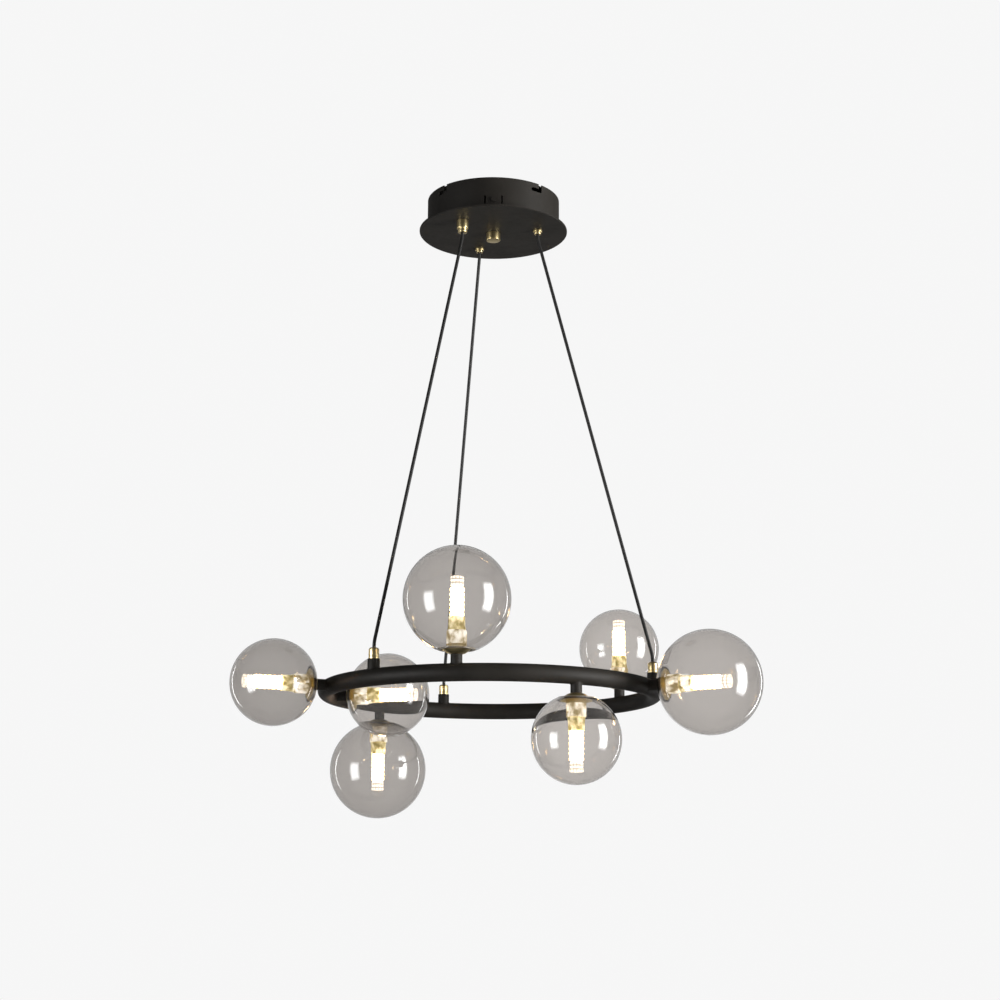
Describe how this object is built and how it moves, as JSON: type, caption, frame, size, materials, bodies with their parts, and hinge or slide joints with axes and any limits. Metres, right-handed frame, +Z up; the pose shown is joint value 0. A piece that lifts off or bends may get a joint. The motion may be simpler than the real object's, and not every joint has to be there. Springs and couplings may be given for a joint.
{
  "type": "ring chandelier",
  "caption": "Ceiling chandelier: a round black tube ring hung on cords from a drum canopy, with smoked glass globes on short stems up, down, outward and inward, lit by pin-base lamps.",
  "frame": {"origin": "centre of the ceiling bracket on the ceiling plane", "axes": "+Z up into the ceiling, +Y away from the viewer of the picture, +X to that viewer's right"},
  "size_m": [0.605, 0.4564, 0.7637],
  "materials": {
    "black_metal": "matt black powder coat",
    "brass": "polished, clear lacquer",
    "steel": "zinc plated",
    "smoked_glass": "clear, light smoke tint",
    "white_ceramic": "white glaze",
    "lit_lamp": "lit, warm white",
    "black_cord": "smooth black jacket",
    "silicone": "translucent white",
    "terminal_plastic": "moulded"
  },
  "bodies": {
    "ceiling_mount": {"ceiling_bracket": "steel", "bayonet_pins": "steel"},
    "canopy": {"canopy_drum": "black_metal", "canopy_plate": "black_metal", "drum_side_screws": "black_metal", "centre_finial": "brass", "finial_nut": "steel", "terminal_block": "terminal_plastic", "grip_lock_nuts": "steel", "canopy_grip_left": "brass", "canopy_grip_back": "brass", "canopy_grip_right": "brass", "suspension_cord_left": "black_cord", "suspension_cord_back": "black_cord", "suspension_cord_right": "black_cord"},
    "ring": {"ring_half_front": "black_metal", "ring_half_back": "black_metal", "ring_posts": "black_metal", "threaded_nipples": "steel", "globe_gaskets": "silicone", "socket_collars": "brass", "ring_grip_left": "brass", "ring_grip_back": "brass", "ring_grip_right": "brass", "stem_left": "black_metal", "cup_left": "brass", "socket_left": "white_ceramic", "bulb_left": "lit_lamp", "stem_front_top": "black_metal", "cup_front_top": "brass", "socket_front_top": "white_ceramic", "bulb_front_top": "lit_lamp", "stem_front_low": "black_metal", "cup_front_low": "brass", "socket_front_low": "white_ceramic", "bulb_front_low": "lit_lamp", "stem_right": "black_metal", "cup_right": "brass", "socket_right": "white_ceramic", "bulb_right": "lit_lamp", "stem_back_top": "black_metal", "cup_back_top": "brass", "socket_back_top": "white_ceramic", "bulb_back_top": "lit_lamp", "stem_back_low": "black_metal", "cup_back_low": "brass", "socket_back_low": "white_ceramic", "bulb_back_low": "lit_lamp", "stem_inner": "black_metal", "cup_inner": "brass", "socket_inner": "white_ceramic", "bulb_inner": "lit_lamp"},
    "shade_left": {"globe_left": "smoked_glass"},
    "shade_front_top": {"globe_front_top": "smoked_glass"},
    "shade_front_low": {"globe_front_low": "smoked_glass"},
    "shade_right": {"globe_right": "smoked_glass"},
    "shade_back_top": {"globe_back_top": "smoked_glass"},
    "shade_back_low": {"globe_back_low": "smoked_glass"},
    "shade_inner": {"globe_inner": "smoked_glass"}
  },
  "joints": [
    {"name": "canopy_twist", "type": "hinge", "parent": "ceiling_mount", "child": "canopy", "pos_m": [0, 0, 0], "axis": [0, 0, 1], "range_deg": [-8, 0]},
    {"name": "drop_adjust", "type": "slide", "parent": "canopy", "child": "ring", "axis": [0, 0, 1], "range_m": [0, 0.3], "deforming": ["suspension_cord_left", "suspension_cord_back", "suspension_cord_right"]},
    {"name": "pull_left", "type": "slide", "parent": "ring", "child": "shade_left", "axis": [-0.9336, -0.3584, 0], "range_m": [0, 0.085]},
    {"name": "pull_front_top", "type": "slide", "parent": "ring", "child": "shade_front_top", "axis": [0, 0, 1], "range_m": [0, 0.085]},
    {"name": "pull_front_low", "type": "slide", "parent": "ring", "child": "shade_front_low", "axis": [0, 0, -1], "range_m": [0, 0.085]},
    {"name": "pull_right", "type": "slide", "parent": "ring", "child": "shade_right", "axis": [0.8988, -0.4384, 0], "range_m": [0, 0.085]},
    {"name": "pull_back_top", "type": "slide", "parent": "ring", "child": "shade_back_top", "axis": [0, 0, 1], "range_m": [0, 0.085]},
    {"name": "pull_back_low", "type": "slide", "parent": "ring", "child": "shade_back_low", "axis": [0, 0, -1], "range_m": [0, 0.085]},
    {"name": "pull_inner", "type": "slide", "parent": "ring", "child": "shade_inner", "axis": [0.9848, -0.1736, 0], "range_m": [0, 0.085]}
  ]
}
